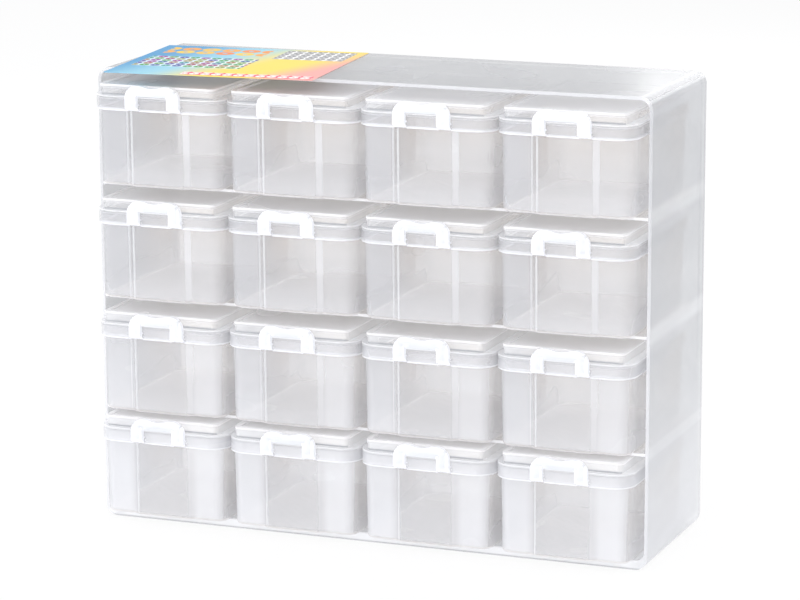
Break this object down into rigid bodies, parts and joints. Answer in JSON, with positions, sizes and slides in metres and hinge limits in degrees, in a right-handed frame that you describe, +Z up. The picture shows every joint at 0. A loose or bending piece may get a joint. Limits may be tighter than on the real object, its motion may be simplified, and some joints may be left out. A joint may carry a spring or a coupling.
{
  "type": "bead sorting box",
  "caption": "Open-fronted see-through cabinet on a raised base, its shelves holding a grid of lidded, latched boxes that slide out at the front.",
  "frame": {"origin": "centre of the bounding box in plan, on the surface that the cabinet stands on", "axes": "+Z up, +Y towards the closed back, -Y towards the side the boxes slide out of, +X to the right as seen from the front"},
  "size_m": [0.38, 0.1434, 0.3046],
  "materials": {
    "cabinet_plastic": "clear, slightly milky, smooth",
    "shelf_plastic": "clear, slightly milky, smooth",
    "box_plastic": "milky translucent, soft sheen",
    "lid_plastic": "milky translucent, soft sheen",
    "latch_plastic": "white translucent, soft sheen",
    "card": "printed card, satin"
  },
  "bodies": {
    "cabinet": {"cabinet_shell": "cabinet_plastic", "shelf_1": "shelf_plastic", "shelf_2": "shelf_plastic", "shelf_3": "shelf_plastic", "label_card": "card"},
    "box_r1c1": {"box_r1c1": "box_plastic"},
    "lid_r1c1": {"lid_r1c1": "lid_plastic"},
    "latch_r1c1": {"latch_r1c1": "latch_plastic"},
    "box_r1c2": {"box_r1c2": "box_plastic"},
    "lid_r1c2": {"lid_r1c2": "lid_plastic"},
    "latch_r1c2": {"latch_r1c2": "latch_plastic"},
    "box_r1c3": {"box_r1c3": "box_plastic"},
    "lid_r1c3": {"lid_r1c3": "lid_plastic"},
    "latch_r1c3": {"latch_r1c3": "latch_plastic"},
    "box_r1c4": {"box_r1c4": "box_plastic"},
    "lid_r1c4": {"lid_r1c4": "lid_plastic"},
    "latch_r1c4": {"latch_r1c4": "latch_plastic"},
    "box_r2c1": {"box_r2c1": "box_plastic"},
    "lid_r2c1": {"lid_r2c1": "lid_plastic"},
    "latch_r2c1": {"latch_r2c1": "latch_plastic"},
    "box_r2c2": {"box_r2c2": "box_plastic"},
    "lid_r2c2": {"lid_r2c2": "lid_plastic"},
    "latch_r2c2": {"latch_r2c2": "latch_plastic"},
    "box_r2c3": {"box_r2c3": "box_plastic"},
    "lid_r2c3": {"lid_r2c3": "lid_plastic"},
    "latch_r2c3": {"latch_r2c3": "latch_plastic"},
    "box_r2c4": {"box_r2c4": "box_plastic"},
    "lid_r2c4": {"lid_r2c4": "lid_plastic"},
    "latch_r2c4": {"latch_r2c4": "latch_plastic"},
    "box_r3c1": {"box_r3c1": "box_plastic"},
    "lid_r3c1": {"lid_r3c1": "lid_plastic"},
    "latch_r3c1": {"latch_r3c1": "latch_plastic"},
    "box_r3c2": {"box_r3c2": "box_plastic"},
    "lid_r3c2": {"lid_r3c2": "lid_plastic"},
    "latch_r3c2": {"latch_r3c2": "latch_plastic"},
    "box_r3c3": {"box_r3c3": "box_plastic"},
    "lid_r3c3": {"lid_r3c3": "lid_plastic"},
    "latch_r3c3": {"latch_r3c3": "latch_plastic"},
    "box_r3c4": {"box_r3c4": "box_plastic"},
    "lid_r3c4": {"lid_r3c4": "lid_plastic"},
    "latch_r3c4": {"latch_r3c4": "latch_plastic"},
    "box_r4c1": {"box_r4c1": "box_plastic"},
    "lid_r4c1": {"lid_r4c1": "lid_plastic"},
    "latch_r4c1": {"latch_r4c1": "latch_plastic"},
    "box_r4c2": {"box_r4c2": "box_plastic"},
    "lid_r4c2": {"lid_r4c2": "lid_plastic"},
    "latch_r4c2": {"latch_r4c2": "latch_plastic"},
    "box_r4c3": {"box_r4c3": "box_plastic"},
    "lid_r4c3": {"lid_r4c3": "lid_plastic"},
    "latch_r4c3": {"latch_r4c3": "latch_plastic"},
    "box_r4c4": {"box_r4c4": "box_plastic"},
    "lid_r4c4": {"lid_r4c4": "lid_plastic"},
    "latch_r4c4": {"latch_r4c4": "latch_plastic"}
  },
  "joints": [
    {"name": "box_slide_r1c1", "type": "slide", "parent": "cabinet", "child": "box_r1c1", "axis": [0, -1, 0], "range_m": [0, 0.118]},
    {"name": "latch_pivot_r1c1", "type": "hinge", "parent": "box_r1c1", "child": "latch_r1c1", "pos_m": [-0.141, -0.0664, 0.2817], "axis": [1, 0, 0], "range_deg": [0, 120]},
    {"name": "lid_hinge_r1c1", "type": "hinge", "parent": "box_r1c1", "child": "lid_r1c1", "pos_m": [-0.141, 0.0662, 0.28635], "axis": [-1, 0, 0], "range_deg": [0, 2.5]},
    {"name": "box_slide_r1c2", "type": "slide", "parent": "cabinet", "child": "box_r1c2", "axis": [0, -1, 0], "range_m": [0, 0.118]},
    {"name": "latch_pivot_r1c2", "type": "hinge", "parent": "box_r1c2", "child": "latch_r1c2", "pos_m": [-0.048, -0.0664, 0.2817], "axis": [1, 0, 0], "range_deg": [0, 120]},
    {"name": "lid_hinge_r1c2", "type": "hinge", "parent": "box_r1c2", "child": "lid_r1c2", "pos_m": [-0.048, 0.0662, 0.28635], "axis": [-1, 0, 0], "range_deg": [0, 2.5]},
    {"name": "box_slide_r1c3", "type": "slide", "parent": "cabinet", "child": "box_r1c3", "axis": [0, -1, 0], "range_m": [0, 0.118]},
    {"name": "latch_pivot_r1c3", "type": "hinge", "parent": "box_r1c3", "child": "latch_r1c3", "pos_m": [0.045, -0.0664, 0.2817], "axis": [1, 0, 0], "range_deg": [0, 120]},
    {"name": "lid_hinge_r1c3", "type": "hinge", "parent": "box_r1c3", "child": "lid_r1c3", "pos_m": [0.045, 0.0662, 0.28635], "axis": [-1, 0, 0], "range_deg": [0, 2.5]},
    {"name": "box_slide_r1c4", "type": "slide", "parent": "cabinet", "child": "box_r1c4", "axis": [0, -1, 0], "range_m": [0, 0.118]},
    {"name": "latch_pivot_r1c4", "type": "hinge", "parent": "box_r1c4", "child": "latch_r1c4", "pos_m": [0.138, -0.0664, 0.2817], "axis": [1, 0, 0], "range_deg": [0, 120]},
    {"name": "lid_hinge_r1c4", "type": "hinge", "parent": "box_r1c4", "child": "lid_r1c4", "pos_m": [0.138, 0.0662, 0.28635], "axis": [-1, 0, 0], "range_deg": [0, 2.5]},
    {"name": "box_slide_r2c1", "type": "slide", "parent": "cabinet", "child": "box_r2c1", "axis": [0, -1, 0], "range_m": [0, 0.118]},
    {"name": "latch_pivot_r2c1", "type": "hinge", "parent": "box_r2c1", "child": "latch_r2c1", "pos_m": [-0.141, -0.0664, 0.2059], "axis": [1, 0, 0], "range_deg": [0, 120]},
    {"name": "lid_hinge_r2c1", "type": "hinge", "parent": "box_r2c1", "child": "lid_r2c1", "pos_m": [-0.141, 0.0662, 0.21055], "axis": [-1, 0, 0], "range_deg": [0, 2.5]},
    {"name": "box_slide_r2c2", "type": "slide", "parent": "cabinet", "child": "box_r2c2", "axis": [0, -1, 0], "range_m": [0, 0.118]},
    {"name": "latch_pivot_r2c2", "type": "hinge", "parent": "box_r2c2", "child": "latch_r2c2", "pos_m": [-0.048, -0.0664, 0.2059], "axis": [1, 0, 0], "range_deg": [0, 120]},
    {"name": "lid_hinge_r2c2", "type": "hinge", "parent": "box_r2c2", "child": "lid_r2c2", "pos_m": [-0.048, 0.0662, 0.21055], "axis": [-1, 0, 0], "range_deg": [0, 2.5]},
    {"name": "box_slide_r2c3", "type": "slide", "parent": "cabinet", "child": "box_r2c3", "axis": [0, -1, 0], "range_m": [0, 0.118]},
    {"name": "latch_pivot_r2c3", "type": "hinge", "parent": "box_r2c3", "child": "latch_r2c3", "pos_m": [0.045, -0.0664, 0.2059], "axis": [1, 0, 0], "range_deg": [0, 120]},
    {"name": "lid_hinge_r2c3", "type": "hinge", "parent": "box_r2c3", "child": "lid_r2c3", "pos_m": [0.045, 0.0662, 0.21055], "axis": [-1, 0, 0], "range_deg": [0, 2.5]},
    {"name": "box_slide_r2c4", "type": "slide", "parent": "cabinet", "child": "box_r2c4", "axis": [0, -1, 0], "range_m": [0, 0.118]},
    {"name": "latch_pivot_r2c4", "type": "hinge", "parent": "box_r2c4", "child": "latch_r2c4", "pos_m": [0.138, -0.0664, 0.2059], "axis": [1, 0, 0], "range_deg": [0, 120]},
    {"name": "lid_hinge_r2c4", "type": "hinge", "parent": "box_r2c4", "child": "lid_r2c4", "pos_m": [0.138, 0.0662, 0.21055], "axis": [-1, 0, 0], "range_deg": [0, 2.5]},
    {"name": "box_slide_r3c1", "type": "slide", "parent": "cabinet", "child": "box_r3c1", "axis": [0, -1, 0], "range_m": [0, 0.118]},
    {"name": "latch_pivot_r3c1", "type": "hinge", "parent": "box_r3c1", "child": "latch_r3c1", "pos_m": [-0.141, -0.0664, 0.1301], "axis": [1, 0, 0], "range_deg": [0, 120]},
    {"name": "lid_hinge_r3c1", "type": "hinge", "parent": "box_r3c1", "child": "lid_r3c1", "pos_m": [-0.141, 0.0662, 0.13475], "axis": [-1, 0, 0], "range_deg": [0, 2.5]},
    {"name": "box_slide_r3c2", "type": "slide", "parent": "cabinet", "child": "box_r3c2", "axis": [0, -1, 0], "range_m": [0, 0.118]},
    {"name": "latch_pivot_r3c2", "type": "hinge", "parent": "box_r3c2", "child": "latch_r3c2", "pos_m": [-0.048, -0.0664, 0.1301], "axis": [1, 0, 0], "range_deg": [0, 120]},
    {"name": "lid_hinge_r3c2", "type": "hinge", "parent": "box_r3c2", "child": "lid_r3c2", "pos_m": [-0.048, 0.0662, 0.13475], "axis": [-1, 0, 0], "range_deg": [0, 2.5]},
    {"name": "box_slide_r3c3", "type": "slide", "parent": "cabinet", "child": "box_r3c3", "axis": [0, -1, 0], "range_m": [0, 0.118]},
    {"name": "latch_pivot_r3c3", "type": "hinge", "parent": "box_r3c3", "child": "latch_r3c3", "pos_m": [0.045, -0.0664, 0.1301], "axis": [1, 0, 0], "range_deg": [0, 120]},
    {"name": "lid_hinge_r3c3", "type": "hinge", "parent": "box_r3c3", "child": "lid_r3c3", "pos_m": [0.045, 0.0662, 0.13475], "axis": [-1, 0, 0], "range_deg": [0, 2.5]},
    {"name": "box_slide_r3c4", "type": "slide", "parent": "cabinet", "child": "box_r3c4", "axis": [0, -1, 0], "range_m": [0, 0.118]},
    {"name": "latch_pivot_r3c4", "type": "hinge", "parent": "box_r3c4", "child": "latch_r3c4", "pos_m": [0.138, -0.0664, 0.1301], "axis": [1, 0, 0], "range_deg": [0, 120]},
    {"name": "lid_hinge_r3c4", "type": "hinge", "parent": "box_r3c4", "child": "lid_r3c4", "pos_m": [0.138, 0.0662, 0.13475], "axis": [-1, 0, 0], "range_deg": [0, 2.5]},
    {"name": "box_slide_r4c1", "type": "slide", "parent": "cabinet", "child": "box_r4c1", "axis": [0, -1, 0], "range_m": [0, 0.118]},
    {"name": "latch_pivot_r4c1", "type": "hinge", "parent": "box_r4c1", "child": "latch_r4c1", "pos_m": [-0.141, -0.0664, 0.0595], "axis": [1, 0, 0], "range_deg": [0, 120]},
    {"name": "lid_hinge_r4c1", "type": "hinge", "parent": "box_r4c1", "child": "lid_r4c1", "pos_m": [-0.141, 0.0662, 0.06415], "axis": [-1, 0, 0], "range_deg": [0, 0.4]},
    {"name": "box_slide_r4c2", "type": "slide", "parent": "cabinet", "child": "box_r4c2", "axis": [0, -1, 0], "range_m": [0, 0.118]},
    {"name": "latch_pivot_r4c2", "type": "hinge", "parent": "box_r4c2", "child": "latch_r4c2", "pos_m": [-0.048, -0.0664, 0.0595], "axis": [1, 0, 0], "range_deg": [0, 120]},
    {"name": "lid_hinge_r4c2", "type": "hinge", "parent": "box_r4c2", "child": "lid_r4c2", "pos_m": [-0.048, 0.0662, 0.06415], "axis": [-1, 0, 0], "range_deg": [0, 0.4]},
    {"name": "box_slide_r4c3", "type": "slide", "parent": "cabinet", "child": "box_r4c3", "axis": [0, -1, 0], "range_m": [0, 0.118]},
    {"name": "latch_pivot_r4c3", "type": "hinge", "parent": "box_r4c3", "child": "latch_r4c3", "pos_m": [0.045, -0.0664, 0.0595], "axis": [1, 0, 0], "range_deg": [0, 120]},
    {"name": "lid_hinge_r4c3", "type": "hinge", "parent": "box_r4c3", "child": "lid_r4c3", "pos_m": [0.045, 0.0662, 0.06415], "axis": [-1, 0, 0], "range_deg": [0, 0.4]},
    {"name": "box_slide_r4c4", "type": "slide", "parent": "cabinet", "child": "box_r4c4", "axis": [0, -1, 0], "range_m": [0, 0.118]},
    {"name": "latch_pivot_r4c4", "type": "hinge", "parent": "box_r4c4", "child": "latch_r4c4", "pos_m": [0.138, -0.0664, 0.0595], "axis": [1, 0, 0], "range_deg": [0, 120]},
    {"name": "lid_hinge_r4c4", "type": "hinge", "parent": "box_r4c4", "child": "lid_r4c4", "pos_m": [0.138, 0.0662, 0.06415], "axis": [-1, 0, 0], "range_deg": [0, 0.4]}
  ],
  "couplings": [
    {"joint": "lid_hinge_r1c1", "follows": "latch_pivot_r1c1", "ratio": 0.020833},
    {"joint": "lid_hinge_r1c2", "follows": "latch_pivot_r1c2", "ratio": 0.020833},
    {"joint": "lid_hinge_r1c3", "follows": "latch_pivot_r1c3", "ratio": 0.020833},
    {"joint": "lid_hinge_r1c4", "follows": "latch_pivot_r1c4", "ratio": 0.020833},
    {"joint": "lid_hinge_r2c1", "follows": "latch_pivot_r2c1", "ratio": 0.020833},
    {"joint": "lid_hinge_r2c2", "follows": "latch_pivot_r2c2", "ratio": 0.020833},
    {"joint": "lid_hinge_r2c3", "follows": "latch_pivot_r2c3", "ratio": 0.020833},
    {"joint": "lid_hinge_r2c4", "follows": "latch_pivot_r2c4", "ratio": 0.020833},
    {"joint": "lid_hinge_r3c1", "follows": "latch_pivot_r3c1", "ratio": 0.020833},
    {"joint": "lid_hinge_r3c2", "follows": "latch_pivot_r3c2", "ratio": 0.020833},
    {"joint": "lid_hinge_r3c3", "follows": "latch_pivot_r3c3", "ratio": 0.020833},
    {"joint": "lid_hinge_r3c4", "follows": "latch_pivot_r3c4", "ratio": 0.020833},
    {"joint": "lid_hinge_r4c1", "follows": "latch_pivot_r4c1", "ratio": 0.0033333},
    {"joint": "lid_hinge_r4c2", "follows": "latch_pivot_r4c2", "ratio": 0.0033333},
    {"joint": "lid_hinge_r4c3", "follows": "latch_pivot_r4c3", "ratio": 0.0033333},
    {"joint": "lid_hinge_r4c4", "follows": "latch_pivot_r4c4", "ratio": 0.0033333}
  ]
}
